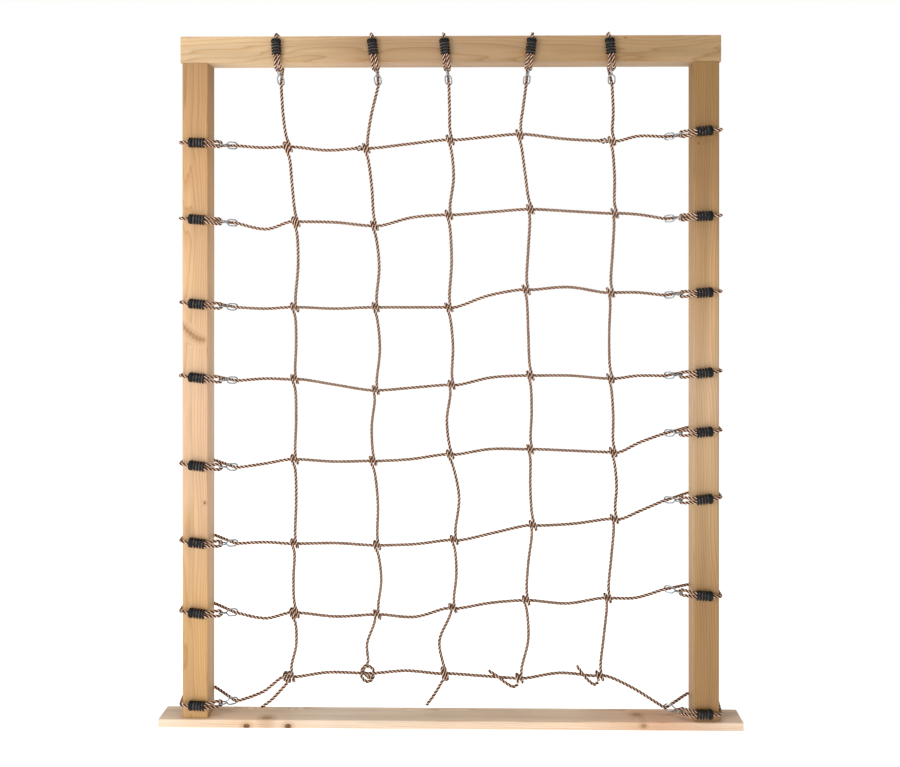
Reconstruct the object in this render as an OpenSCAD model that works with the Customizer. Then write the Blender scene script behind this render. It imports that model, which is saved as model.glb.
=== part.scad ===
// Cargo climbing net in a goal-shaped timber frame.
// Millimetres, +Z up. The origin is the centre of the base board's underside, and the front faces -Y.
// Five upright and eight level ropes are tied at forty knots. Each rope end is a running noose round
// a timber: it passes through a ribbed sleeve and comes back as an eye, linked to the net by a steel link.

/* [Frame] */
// Length of the top beam, which is the width of the frame
frame_w = 1975; // [1640:5:2400]
// Height from the floor to the top of the beam
frame_h = 2530; // [2100:5:3100]
// Width of a post, along the beam
post_w = 94; // [78:1:113]
// Depth of the posts and the beam, front to back
timber_d = 94; // [78:1:113]
// Height of the beam
beam_h = 98; // [88:1:118]
// How far each post stands in from the beam's end
post_inset = 6; // [0:1:40]
// Rounding of the timbers' long edges
edge_r = 5; // [2:0.5:8]

/* [Base board] */
// How far the base board runs out past each end of the beam
board_over = 80; // [0:5:200]
// How much deeper the base board is than the posts
board_more = 21; // [0:1:80]
// Thickness of the base board
board_t = 30; // [25:1:45]
// Rounding of the base board's two long top edges
board_edge_r = 4; // [1:0.5:8]

/* [Screws] */
// Shank diameter of the structural screws
screw_d = 8; // [6:0.5:10]
// How deep each screw goes into a post
screw_grip = 92; // [60:1:120]
// Diameter of a screw's flanged head
head_d = 16; // [14:0.5:20]
// Thickness of a screw's flanged head
head_t = 5; // [4:0.5:6]
// Distance between the two screws of one joint, front to back
screw_spacing = 50; // [36:1:60]

/* [Net] */
// Diameter of the three-strand rope
rope_d = 12; // [10:0.5:14.5]
// Height of the lowest row of knots above the base board
bottom_gap = 145; // [120:5:200]
// Play between the two ropes at a knot
knot_play = 1.2; // [1:0.1:2]

/* [Links] */
// Length of a steel link over both loops
link_len = 75; // [70:1:90]
// Diameter of the links' round wire
wire_d = 5; // [4:0.25:6]
// How much wider than the rope each loop is inside
loop_clear = 7; // [6:0.5:10]
// Length of the straight wires in a link's outer loop
loop_stretch = 15; // [0:1:18]
// Play between a link's wire and the rope that bears on it
link_play = 1.2; // [1.2:0.05:1.5]

/* [Sleeves] */
// Length of a ribbed sleeve
sleeve_len = 59; // [49:1:71]
// How far the fins stand out round the sleeve's barrel
fin_reach = 2.8; // [1.5:0.1:4]
// Thickness of the sleeve's barrel wall
sleeve_wall = 1.5; // [1.2:0.1:2.5]
// Length of the domed cap at the sleeve's closed end
cap_len = 17; // [14:1:20]
// Thickness of one fin
fin_t = 5; // [3:0.5:7]
// Number of fins
fins = 4; // [3:1:4]

/* [Hidden] */
COLUMNS = 5;
ROWS = 8;
RUNNING = 0.4;
LAY_GAP = 0.7;
BORE_PLAY = 0.6;
EYE_LEAD = 3;
EDGE_TURN = 2;
SLEEVE_SEAT = 0.3;
SIDES = 8;
TAIL_COLUMNS = [0, 2, 3, 4];

rope_r = rope_d / 2;
wire_r = wire_d / 2;
half_d = timber_d / 2;
board_w = frame_w + 2 * board_over;
board_d = timber_d + board_more;
inner_x = frame_w / 2 - post_inset - post_w;
post_x = inner_x + post_w / 2;
beam_z = frame_h - beam_h;
col_pitch = 2 * inner_x / (COLUMNS + 1);
row_pitch = (beam_z - board_t - bottom_gap) / ROWS;

// Hand-tied knots sit a little off the grid: sideways and upward offsets, row by row from the top
KNOT_DX = [[-10, -15, 0, -40, 5], [20, 15, -5, 0, 15], [15, 20, -5, -15, 0], [15, 20, 5, 0, 0],
    [15, 10, 0, 0, 10], [15, 25, 15, 10, 15], [15, 25, 10, -15, -10], [-5, -10, -20, -40, -40]];
KNOT_DZ = [[-20, -25, 5, 25, 0], [-15, -30, 10, 30, 15], [-50, -50, -50, 15, 5],
    [-35, -75, -55, -20, -30], [-50, -55, -30, -10, -20], [-80, -85, -65, -10, 15],
    [-55, -60, -35, -5, 5], [-10, 5, 5, -10, 0]];
// How far each stretch bows at its middle: upright ropes sideways from the top, level ropes upward
V_BOW = [[-5, 0, 10, 5, 5, 5, -5, 15], [-5, 5, 15, 15, -10, 10, 15, -20], [0, 15, 10, 10, -15, 25, 10, -35],
    [0, 0, 0, 0, 5, -5, -5, 20], [5, 5, 0, -5, 5, 10, 0, 0]];
H_BOW = [[-5, -10, 0, 0, -5, 10], [-25, 5, 10, 0, 0, 5], [-5, -5, 0, 10, 15, 5], [5, 0, 0, 10, 5, 5],
    [0, -5, -5, 10, 0, 0], [5, 5, -5, 0, -5, -5], [-20, -10, -20, 5, -15, -15], [-10, 10, 10, 0, 15, 15]];
// Each fastening: [offset of the link from the grid line, slope of the noose, rise behind the timber]
BEAM_FIX = [[-35, -0.05, 0], [30, -0.12, 0], [-5, -0.1, 0], [-15, 0.12, 0], [5, -0.1, 0]];
LEFT_FIX = [[-15, 0.03, 5], [-20, 0.08, 5], [-50, 0.1, 5], [-40, 0.12, 0], [-80, 0.12, 5],
    [-80, 0.12, 5], [-55, 0.12, 5], [-100, 0.04, 25]];
RIGHT_FIX = [[15, 0.1, 5], [-5, 0.05, 5], [-5, 0.08, 5], [-20, 0.12, 0], [50, 0.1, 5],
    [85, 0.12, 5], [40, -0.05, 5], [-115, 0, 30]];
// Resting roll of each link about its own length
BEAM_ROLL = [10, -8, 12, -12, 6];
LEFT_ROLL = [8, -10, 8, 12, -6, 10, -12, 4];
RIGHT_ROLL = [-8, 6, -12, 10, 0, 12, -6, 8];

// Knot geometry: the upright rope takes one round turn about the level rope
wrap_r = rope_d + knot_play;
wrap_side = 0.75 * rope_d;
wrap_front = 0.535 * rope_d;
knot_reach = 45;
straight_reach = 22;
KNOT_LEAN = 2;
WRAP_ANGLES = [70:40:470];
// Where the last upright knot's rope is cut, in wrap radii behind and below the knot
TUCK = [0.73, 1.07];

// Noose geometry: s runs from the timber's inner face into the opening, y to the back, w along the timber
lane = rope_r + RUNNING;
peg_r = rope_r + wire_r + link_play;
loop_r = (rope_d + loop_clear + wire_d) / 2;
corner_r = edge_r + rope_r + LAY_GAP;
bore_w = 2 * (lane + rope_r + BORE_PLAY);
bore_d = rope_d + 2 * BORE_PLAY;
barrel_w = bore_w + 2 * sleeve_wall;
barrel_d = bore_d + 2 * sleeve_wall;
sleeve_w = barrel_w + 2 * fin_reach;
sleeve_d = barrel_d + 2 * fin_reach;
sleeve_y = -half_d - sleeve_d / 2 - SLEEVE_SEAT;
DOME_STEP = 3;
DOME_IN = [3, 2.2];
POST_EYE_S = 10;
BEAM_EYE_S = 28;
POST_LINK_S = 96;
BEAM_LINK_S = 72;
LINK_Y = 8;
END_WALL = 4;
// A link's loops stay open by this angle each side of the neck, and the neck is a little thicker than
// the wire
NECK_OPEN = 10;
NECK_MORE = 0.3;
// A tail's rounded end starts a little slimmer than its rope, and its hinge sits clear of the knot
NOSE = 0.95;
TAIL_CLEAR = [0.2, 1.6];

// A fastening's plan: [thickness of the timber, sleeve's open end, link's outer wire]
POST_PLAN = [post_w, POST_EYE_S, POST_LINK_S];
BEAM_PLAN = [beam_h, BEAM_EYE_S, BEAM_LINK_S];

WOOD = "#d2ab78";
PALE_WOOD = "#dcc2a2";
ROPE = "#b98a63";
PLASTIC = "#1c1c1f";
ZINC = "#b9bfc4";

function unit(v) = v / norm(v);
function row_z(r) = board_t + bottom_gap + (ROWS - 1 - r) * row_pitch;
function col_x(c) = (c - (COLUMNS - 1) / 2) * col_pitch;
function knot(r, c) = [col_x(c) + KNOT_DX[r][c], 0, row_z(r) + KNOT_DZ[r][c]];

// Rings of a swept rope: each ring's side direction is the last one's, carried along the route
function tangents(p) = [for (i = [0:len(p) - 1]) unit(p[min(i + 1, len(p) - 1)] - p[max(i - 1, 0)])];
function first_side(t) = unit(abs(t.y) < 0.9 ? cross(t, [0, 1, 0]) : cross(t, [1, 0, 0]));
function carried(t, i, side) = i == len(t) ? [] :
    let (s = unit(side - (side * t[i]) * t[i])) concat([s], carried(t, i + 1, s));
function ring(p, t, s, r) = [for (k = [0:SIDES - 1])
    let (a = 360 * k / SIDES) p + r * (cos(a) * s + sin(a) * cross(t, s))];

// One closed tube along the points p, with its own radius at each point
module swept(p, radii) {
    t = tangents(p);
    s = carried(t, 0, first_side(t[0]));
    n = len(p);
    points = [for (i = [0:n - 1]) for (v = ring(p[i], t[i], s[i], radii[i])) v];
    sides = [for (i = [0:n - 2]) for (k = [0:SIDES - 1])
        let (a = i * SIDES + k, b = i * SIDES + (k + 1) % SIDES)
        for (f = [[a, a + SIDES, b], [b, a + SIDES, b + SIDES]]) f];
    caps = [[for (k = [0:SIDES - 1]) k], [for (k = [SIDES - 1:-1:0]) (n - 1) * SIDES + k]];
    polyhedron(points, concat(sides, caps), convexity = 20);
}

module rope(p) { color(ROPE) swept(p, [for (v = p) rope_r]); }

// Places in a fastening, in [s, y, w]
function link_outer(plan) = [plan[2], LINK_Y, 0];
function eye_start(plan) = [-plan[1], sleeve_y, 0];
function eye_bend(plan) = [EDGE_TURN - edge_r, -half_d - rope_r - EYE_LEAD, 0];
function link_dir(plan) = unit(link_outer(plan) - eye_bend(plan));
function link_inner(plan) = link_outer(plan) - (link_len - wire_d) * link_dir(plan);
function plan_arc(centre, rs, ry, from, step, to) = [for (a = [from:step:to])
    [centre.x + rs * cos(a), centre.y + ry * sin(a), 0]];

// A noose from the net to the rope's cut end in the sleeve, before it is sloped. Its fourth number is 1
// behind the timber, where the rope may ride higher.
function noose_flat(plan) =
    let (o = link_outer(plan), i = link_inner(plan), d = link_dir(plan), e = eye_start(plan),
        b = eye_bend(plan), far = -plan[0] + edge_r, dome = e.x - sleeve_len)
    concat(
        [for (p = plan_arc(o, peg_r, peg_r, 270, -15, 240)) [each p, 0]],
        [for (p = plan_arc([-edge_r, half_d - edge_r], corner_r, corner_r, 60, 15, 90)) [each p, 1]],
        [for (p = plan_arc([far, half_d - edge_r], corner_r, corner_r, 90, 30, 180)) [each p, 1]],
        [for (p = plan_arc([far, edge_r - half_d], corner_r, edge_r - half_d - sleeve_y, 180, 30, 270))
            [each p, 0]],
        [for (v = [[dome + END_WALL, 0], [dome + 2 * rope_d, lane], [e.x + EYE_LEAD, lane]])
            [v[0], e.y, v[1], 0]],
        [[b.x, b.y, lane, 0]],
        [for (a = [90:-30:-90]) [each (i + peg_r * (cos(a) * d + [0, 0, sin(a)])), 0]],
        [[b.x, b.y, -lane, 0]],
        [for (x = [EYE_LEAD, -sleeve_len / 2]) [e.x + x, e.y, -lane, 0]]);

function sloped(plan, fix, p) = [p.x, p.y, p.z + fix[1] * (plan[2] - p.x)];
function noose(plan, fix) = [for (p = noose_flat(plan)) sloped(plan, fix, p) + [0, 0, fix[2] * p[3]]];

// From a fastening's [s, y, w] to the part's own frame
function at_left(p, z) = [p.x - inner_x, p.y, p.z + z];
function at_right(p, z) = [inner_x - p.x, p.y, p.z + z];
function at_beam(p, x) = [p.z + x, p.y, beam_z - p.x];
function reversed(p) = [for (i = [len(p) - 1:-1:0]) p[i]];
function middle(a, b, bow) = (a + b) / 2 + bow;

// A level rope: left noose, straight through its knots with a bow between them, right noose
function level_route(r) =
    let (z = row_z(r), left = [for (p = noose(POST_PLAN, LEFT_FIX[r])) at_left(p, z + LEFT_FIX[r][0])],
        right = [for (p = noose(POST_PLAN, RIGHT_FIX[r])) at_right(p, z + RIGHT_FIX[r][0])],
        stops = concat([left[0]], [for (c = [0:COLUMNS - 1]) knot(r, c)], [right[0]]))
    concat(reversed(left), [for (c = [0:COLUMNS]) each concat(
        [middle(stops[c], stops[c + 1], [0, 0, H_BOW[r][c]])],
        c == COLUMNS ? [] : [for (x = [-straight_reach, straight_reach]) knot(r, c) + [x, 0, 0]])], right);

// An upright rope's round turn about a level rope that crosses it at k
function wrap_x(a) = a < 180 ? wrap_front + (wrap_side - wrap_front) * (a - 70) / 110 :
    a > 360 ? -wrap_x(540 - a) : wrap_side * cos(a - 180);
function wrap(k) = [for (a = WRAP_ANGLES) k + [wrap_x(a), -wrap_r * sin(a), wrap_r * cos(a)]];
function knot_end(k) = k + [-wrap_front, -wrap_r * TUCK[0], -wrap_r * TUCK[1]];

function upright_route(c) =
    let (fall = [for (p = noose(BEAM_PLAN, BEAM_FIX[c])) at_beam(p, col_x(c) + BEAM_FIX[c][0])],
        stops = concat([fall[0]], [for (r = [0:ROWS - 1]) knot(r, c)]))
    concat(reversed(fall), [for (r = [0:ROWS - 1]) each concat(
        [middle(stops[r], stops[r + 1], [V_BOW[c][r], 0, 0]), knot(r, c) + [KNOT_LEAN, 0, knot_reach]],
        wrap(knot(r, c)),
        r == ROWS - 1 ? [knot_end(knot(r, c))] : [knot(r, c) - [KNOT_LEAN, 0, knot_reach]])]);

// Loose tails: the hinge point just under the lowest knot, then the route from that knot
tail_root = [-wrap_front - TAIL_CLEAR[0], -wrap_r * TUCK[0] + TAIL_CLEAR[1], -wrap_r * TUCK[1] - rope_r];
TAIL_ROUTES = [[[-30, -11, -45], [-62, -14, -78], [-100, -15, -107]], [],
    [[-24, -9, -50], [-45, -12, -82], [-67, -12, -111]],
    [[-22, -12, -27], [-50, -16, -12], [-85, -14, 14], [-115, -13, 32]],
    [[-20, -12, -27], [-48, -16, -6], [-86, -13, 42]]];

module tail(c) {
    k = knot(ROWS - 1, c);
    root = k + tail_root;
    way = [for (p = TAIL_ROUTES[c]) k + p];
    out = unit(way[0] - root);
    nose = [for (a = [60, 30]) root - rope_r * sin(a) * NOSE * out];
    color(ROPE) swept(concat(nose, [root], way),
        concat([for (a = [60, 30]) rope_r * cos(a) * NOSE], [for (i = [0:len(way)]) rope_r]));
}

// A flattened round section, w wide along z and d deep along y, drawn in the XY plane
module stadium(w, d) {
    square([w - d, d], center = true);
    for (x = [-1, 1]) translate([x * (w - d) / 2, 0]) circle(d = d, $fn = 48);
}

// A slab of that section from s = from, t long, in [s, y, w]
module slab(from, t, w, d) {
    translate([from, 0, 0]) rotate([0, 90, 0]) linear_extrude(t) rotate(180) stadium(w, d);
}

// One sleeve with its open end at the origin and its domed end towards -s
module sleeve() {
    groove = (sleeve_len - cap_len - fins * fin_t) / fins;
    color(PLASTIC) difference() {
        union() {
            slab(-sleeve_len + 2 * DOME_STEP, sleeve_len - 2 * DOME_STEP, barrel_w, barrel_d);
            slab(-sleeve_len + 2 * DOME_STEP, cap_len - 2 * DOME_STEP, sleeve_w, sleeve_d);
            for (i = [1:2])
                slab(-sleeve_len + (2 - i) * DOME_STEP, DOME_STEP,
                     sleeve_w - i * DOME_IN[0], sleeve_d - i * DOME_IN[1]);
            for (i = [0:fins - 1])
                slab(-fin_t - i * (fin_t + groove), fin_t, sleeve_w, sleeve_d);
        }
        slab(END_WALL - sleeve_len, sleeve_len - END_WALL + 1, bore_w, bore_d);
        translate([-sleeve_len - 1, 0, 0]) rotate([0, 90, 0])
            cylinder(d = bore_d + RUNNING, h = END_WALL + 2, $fn = 48);
    }
}

module fastened_sleeve(plan, fix) {
    translate(sloped(plan, fix, eye_start(plan))) rotate([0, atan(fix[1]), 0]) sleeve();
}

// Part of a wire ring round the z axis
module wire_ring(from, turn) {
    rotate([0, 0, from]) rotate_extrude(angle = turn, $fn = 96)
        translate([loop_r, 0]) circle(r = wire_r, $fn = 32);
}

// The long outer loop: two half rings and two straight wires, open by a little at the neck
module long_loop() {
    wire_ring(-90, 180);
    for (side = [-1, 1]) {
        translate([-loop_stretch, side * loop_r, 0]) rotate([0, 90, 0])
            cylinder(r = wire_r, h = loop_stretch, $fn = 32);
        translate([-loop_stretch, 0, 0]) wire_ring(side > 0 ? 90 : 180 + NECK_OPEN, 90 - NECK_OPEN);
    }
}

// A link with its outer wire at the origin and its length along -x, its two loops a quarter turn apart
module link() {
    reach = link_len - wire_d;
    color(ZINC) union() {
        translate([-loop_r, 0, 0]) rotate([90, 0, 0]) long_loop();
        translate([loop_r - reach, 0, 0]) wire_ring(NECK_OPEN, 360 - 2 * NECK_OPEN);
        translate([2 * loop_r - reach, 0, 0]) rotate([0, 90, 0])
            cylinder(r = wire_r + NECK_MORE, h = reach - 4 * loop_r - loop_stretch, $fn = 48);
    }
}

module fastened_link(plan, fix, roll) {
    outer = sloped(plan, fix, link_outer(plan));
    way = unit(outer - sloped(plan, fix, link_inner(plan)));
    translate(outer) rotate([roll, -asin(way.z), atan2(way.y, way.x)]) link();
}

module on_left(z) { translate([-inner_x, 0, z]) children(); }
module on_right(z) { translate([inner_x, 0, z]) mirror([1, 0, 0]) children(); }
module on_beam(x) { translate([x, 0, beam_z]) rotate([0, 90, 0]) children(); }

// A timber's section with rounded corners, x by y
module timber_section(x, y, r) {
    square([x - 2 * r, y], center = true);
    square([x, y - 2 * r], center = true);
    for (i = [-1, 1], j = [-1, 1]) translate([i * (x / 2 - r), j * (y / 2 - r)]) circle(r = r, $fn = 48);
}

// The base board's section, on its side: the top edges are rounded, and the underside's are square
module board_section() {
    translate([board_edge_r - board_t / 2, -board_d / 2]) square([board_t - board_edge_r, board_d]);
    square([board_t, board_d - 2 * board_edge_r], center = true);
    for (j = [-1, 1]) translate([board_edge_r - board_t / 2, j * (board_d / 2 - board_edge_r)])
        circle(r = board_edge_r, $fn = 48);
}

// Two screws on each post's axis, front and back
module screw_places() {
    for (i = [-1, 1], j = [-1, 1]) translate([i * post_x, j * screw_spacing / 2, 0]) children();
}

module beam() {
    color(WOOD) difference() {
        translate([-frame_w / 2, 0, frame_h - beam_h / 2]) rotate([0, 90, 0])
            linear_extrude(frame_w) timber_section(beam_h, timber_d, edge_r);
        screw_places() {
            translate([0, 0, beam_z - 1]) cylinder(d = screw_d + 2 * RUNNING, h = beam_h + 2, $fn = 48);
            translate([0, 0, frame_h - head_t])
                cylinder(d = head_d + 2 * RUNNING, h = head_t + 1, $fn = 48);
        }
    }
}

module post(side) {
    color(WOOD) difference() {
        translate([side * post_x, 0, board_t])
            linear_extrude(beam_z - board_t) timber_section(post_w, timber_d, edge_r);
        screw_places() {
            translate([0, 0, beam_z - screw_grip - 1])
                cylinder(d = screw_d + 2 * RUNNING, h = screw_grip + 2, $fn = 48);
            translate([0, 0, board_t - 1])
                cylinder(d = screw_d + 2 * RUNNING, h = screw_grip + 2, $fn = 48);
        }
    }
}

module base_board() {
    color(PALE_WOOD) difference() {
        translate([-board_w / 2, 0, board_t / 2]) rotate([0, 90, 0])
            linear_extrude(board_w) board_section();
        screw_places() {
            translate([0, 0, -1]) cylinder(d = screw_d + 2 * RUNNING, h = board_t + 2, $fn = 48);
            translate([0, 0, -1]) cylinder(d = head_d + 2 * RUNNING, h = head_t + 2, $fn = 48);
        }
    }
}

// A screw standing on its head: the head's top at the origin, the shank up from it
module screw(through) {
    color(ZINC) union() {
        cylinder(d = head_d, h = head_t - RUNNING, $fn = 48);
        cylinder(d = screw_d, h = through + screw_grip, $fn = 48);
    }
}

module beam_screws() {
    screw_places() translate([0, 0, frame_h - RUNNING]) rotate([180, 0, 0]) screw(beam_h - RUNNING);
}
module base_screws() { screw_places() translate([0, 0, RUNNING]) screw(board_t - RUNNING); }

module upright_rope(c) { rope(upright_route(c)); }
module level_rope(r) { rope(level_route(r)); }
module sleeves_beam() {
    for (c = [0:COLUMNS - 1]) on_beam(col_x(c) + BEAM_FIX[c][0]) fastened_sleeve(BEAM_PLAN, BEAM_FIX[c]);
}
module sleeves_left() {
    for (r = [0:ROWS - 1]) on_left(row_z(r) + LEFT_FIX[r][0]) fastened_sleeve(POST_PLAN, LEFT_FIX[r]);
}
module sleeves_right() {
    for (r = [0:ROWS - 1]) on_right(row_z(r) + RIGHT_FIX[r][0]) fastened_sleeve(POST_PLAN, RIGHT_FIX[r]);
}
module link_beam(c) {
    on_beam(col_x(c) + BEAM_FIX[c][0]) fastened_link(BEAM_PLAN, BEAM_FIX[c], BEAM_ROLL[c]);
}
module link_left(r) {
    on_left(row_z(r) + LEFT_FIX[r][0]) fastened_link(POST_PLAN, LEFT_FIX[r], LEFT_ROLL[r]);
}
module link_right(r) {
    on_right(row_z(r) + RIGHT_FIX[r][0]) fastened_link(POST_PLAN, RIGHT_FIX[r], RIGHT_ROLL[r]);
}

beam();
post(-1);  // post_left
post(1);  // post_right
base_board();
beam_screws();
base_screws();
sleeves_beam();
sleeves_left();
sleeves_right();
for (c = [0:COLUMNS - 1]) upright_rope(c);
for (r = [0:ROWS - 1]) level_rope(r);
for (c = TAIL_COLUMNS) tail(c);
for (c = [0:COLUMNS - 1]) link_beam(c);
for (r = [0:ROWS - 1]) link_left(r);
for (r = [0:ROWS - 1]) link_right(r);
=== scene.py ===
"""Cargo climbing net in its timber frame: the finished looks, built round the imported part."""
import math
import random
import bmesh
import bpy
import numpy as np
from mathutils import Matrix, Vector


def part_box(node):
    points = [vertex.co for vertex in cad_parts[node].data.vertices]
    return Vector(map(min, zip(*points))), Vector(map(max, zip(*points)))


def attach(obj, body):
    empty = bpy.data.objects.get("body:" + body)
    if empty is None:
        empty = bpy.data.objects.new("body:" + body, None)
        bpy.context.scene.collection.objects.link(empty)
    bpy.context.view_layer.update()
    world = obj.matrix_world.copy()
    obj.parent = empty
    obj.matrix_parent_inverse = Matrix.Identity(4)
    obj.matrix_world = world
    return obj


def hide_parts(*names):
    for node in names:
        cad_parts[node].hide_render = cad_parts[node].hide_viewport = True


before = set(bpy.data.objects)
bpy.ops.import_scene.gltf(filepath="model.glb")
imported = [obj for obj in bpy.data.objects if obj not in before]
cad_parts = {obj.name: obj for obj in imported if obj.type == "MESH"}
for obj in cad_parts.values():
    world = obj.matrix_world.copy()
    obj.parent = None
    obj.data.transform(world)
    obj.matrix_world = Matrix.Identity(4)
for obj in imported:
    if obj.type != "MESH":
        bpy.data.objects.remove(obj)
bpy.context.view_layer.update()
MM = 0.001

# ---------------------------------------------------------------- camera
# The viewer stands about 3.7 m in front of the frame, a little right of its middle, with the eye
# at 1.66 m, and looks level and very slightly to the left. The view is shifted down instead of tilted,
# so that upright edges stay upright.
CAMERA_PLACE = (0.12, -3.698, 1.662)
CAMERA_PITCH = 0.06
CAMERA_YAW = 0.8
CAMERA_SHIFT = (-0.0208, -0.1214)
camera_data = bpy.data.cameras.new("viewer")
camera_data.lens = 40.0
camera_data.sensor_width = 36.0
camera_data.shift_x, camera_data.shift_y = CAMERA_SHIFT
camera = bpy.data.objects.new("viewer", camera_data)
camera.location = CAMERA_PLACE
camera.rotation_euler = (math.radians(90 - CAMERA_PITCH), 0, math.radians(CAMERA_YAW))
bpy.context.scene.collection.objects.link(camera)
bpy.context.scene.camera = camera

# ---------------------------------------------------------------- the net's ropes
# Five upright and eight level ropes of brown three-strand polypropylene, 12 mm thick. Each rope end
# runs round its timber, through a sleeve, and comes back as an eye. The upright ropes are tied round
# the level ones at forty knots. The routes follow the CAD part's within a few millimetres, with fuller
# knots. Lengths are in metres, and tables of offsets are in millimetres.
ROPE_D, ROPE_R = 12 * MM, 6 * MM
WIRE_R, LOOP_R, LINK_LEN, LINK_PLAY = 2.5 * MM, 12 * MM, 75 * MM, 1.2 * MM
EDGE_R, LAY_GAP, EYE_LEAD, EDGE_TURN = 5 * MM, 0.7 * MM, 3 * MM, 2 * MM
SLEEVE_LEN, SLEEVE_WALL, CAP_LEN = 59 * MM, 1.5 * MM, 17 * MM
FIN_REACH, FIN_T, FINS = 2.8 * MM, 5 * MM, 4
LINK_Y, END_WALL, BOTTOM_GAP = 8 * MM, 4 * MM, 145 * MM
COLUMNS, ROWS = 5, 8
beam_low, beam_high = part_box("beam")
post_low, post_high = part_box("post_right")
board_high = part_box("base_board")[1]
half_d, inner_x, post_w = beam_high.y, post_low.x, post_high.x - post_low.x
beam_z, beam_h, board_t = beam_low.z, beam_high.z - beam_low.z, board_high.z
col_pitch = 2 * inner_x / (COLUMNS + 1)
row_pitch = (beam_z - board_t - BOTTOM_GAP) / ROWS
lane = ROPE_R + 0.4 * MM
bore_w, bore_d = 2 * (lane + ROPE_R + 0.6 * MM), ROPE_D + 1.2 * MM
barrel_w, barrel_d = bore_w + 2 * SLEEVE_WALL, bore_d + 2 * SLEEVE_WALL
sleeve_y = -half_d - (barrel_d + 2 * FIN_REACH) / 2 - 0.3 * MM
# Each fastening's plan: the timber's width, how far the sleeve's mouth is from its edge, and the link's place
POST_PLAN = (post_w, 10 * MM, 96 * MM)
BEAM_PLAN = (beam_h, 28 * MM, 72 * MM)

# Hand-tied knots sit a little off the grid: sideways and upward, row by row from the top
KNOT_DX = [[-10, -15, 0, -40, 5], [20, 15, -5, 0, 15], [15, 20, -5, -15, 0], [15, 20, 5, 0, 0],
           [15, 10, 0, 0, 10], [15, 25, 15, 10, 15], [15, 25, 10, -15, -10], [-5, -10, -20, -40, -40]]
KNOT_DZ = [[-20, -25, 5, 25, 0], [-15, -30, 10, 30, 15], [-50, -50, -50, 15, 5], [-35, -75, -55, -20, -30],
           [-50, -55, -30, -10, -20], [-80, -85, -65, -10, 15], [-55, -60, -35, -5, 5], [-10, 5, 5, -10, 0]]
# How far each stretch bows at its middle: upright ropes sideways, level ropes upward
V_BOW = [[-5, 0, 10, 5, 5, 5, -5, 15], [-5, 5, 15, 15, -10, 10, 15, -20], [0, 15, 10, 10, -15, 25, 10, -35],
         [0, 0, 0, 0, 5, -5, -5, 20], [5, 5, 0, -5, 5, 10, 0, 0]]
H_BOW = [[-5, -10, 0, 0, -5, 10], [-25, 5, 10, 0, 0, 5], [-5, -5, 0, 10, 15, 5], [5, 0, 0, 10, 5, 5],
         [0, -5, -5, 10, 0, 0], [5, 5, -5, 0, -5, -5], [-20, -10, -20, 5, -15, -15], [-10, 10, 10, 0, 15, 15]]
# Each fastening: offset of its link from the grid line, slope of the noose, rise behind the timber
BEAM_FIX = [(-35, -0.05, 0), (30, -0.12, 0), (-5, -0.1, 0), (-15, 0.12, 0), (5, -0.1, 0)]
LEFT_FIX = [(-15, 0.03, 5), (-20, 0.08, 5), (-50, 0.1, 5), (-40, 0.12, 0), (-80, 0.12, 5), (-80, 0.12, 5),
            (-55, 0.12, 5), (-100, 0.04, 25)]
RIGHT_FIX = [(15, 0.1, 5), (-5, 0.05, 5), (-5, 0.08, 5), (-20, 0.12, 0), (50, 0.1, 5), (85, 0.12, 5),
             (40, -0.05, 5), (-115, 0, 30)]
# The knots that took a second turn, and how far their turns spread along the level rope
DOUBLE_KNOTS = {(0, 0): 11, (1, 0): 9, (6, 0): 13, (7, 0): 17, (7, 2): 8}
# One lowest knot is a loose loop that the level rope runs through; its rope ends tucked in behind
OPEN_LOOP = [(-16, -8, 24), (-22, -11, 12), (-22, -13, -4), (-13, -14, -19), (3, -13, -26), (17, -7, -20),
             (22, 3, -4), (19, 5, 12), (8, 3, 23), (-5, -4, 26), (-15, -2, 16), (-17, 10, 0), (-8, 13, -12),
             (4, 2, -17), (11, -12, -8), (2, -14, 0)]
# An upright rope runs straight this far from a knot, and a level rope through it this far
KNOT_REACH, STRAIGHT_REACH = 36 * MM, 22 * MM
# The turns' radius, how much the outer ones bulge, their slant, and the angles that they span in degrees
WRAP_R, TURN_BULGE, TURN_SLANT = 13.4 * MM, 0.28, 5 * MM
TURN_START, TURN_STEP, ONE_TURN_END, TWO_TURNS_END = 70, 40, 470, 830
STRETCHED_KNOT, STRETCH = (7, 2), 1.35
KNOT_FRONT = 6.4 * MM
# Where an upright rope is cut below its lowest knot
CUT_END = np.array([-6.4, -9.6, -14.1]) * MM


def unit(v):
    return v / np.linalg.norm(v)


def row_z(r):
    return board_t + BOTTOM_GAP + (ROWS - 1 - r) * row_pitch


def col_x(c):
    return (c - (COLUMNS - 1) / 2) * col_pitch


def knot(r, c):
    return np.array([col_x(c) + KNOT_DX[r][c] * MM, 0, row_z(r) + KNOT_DZ[r][c] * MM])


def eye_line(plan):
    """A link's ends in a fastening's own frame: outer wire, inner wire, and the bend at the timber's edge."""
    outer = np.array([plan[2], LINK_Y, 0])
    bend = np.array([EDGE_TURN - EDGE_R, -half_d - ROPE_R - EYE_LEAD, 0])
    way = unit(outer - bend)
    return outer, outer - (LINK_LEN - 2 * WIRE_R) * way, bend, way


def sloped(plan, fix, p):
    return np.array([p[0], p[1], p[2] + fix[1] * (plan[2] - p[0])])


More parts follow.
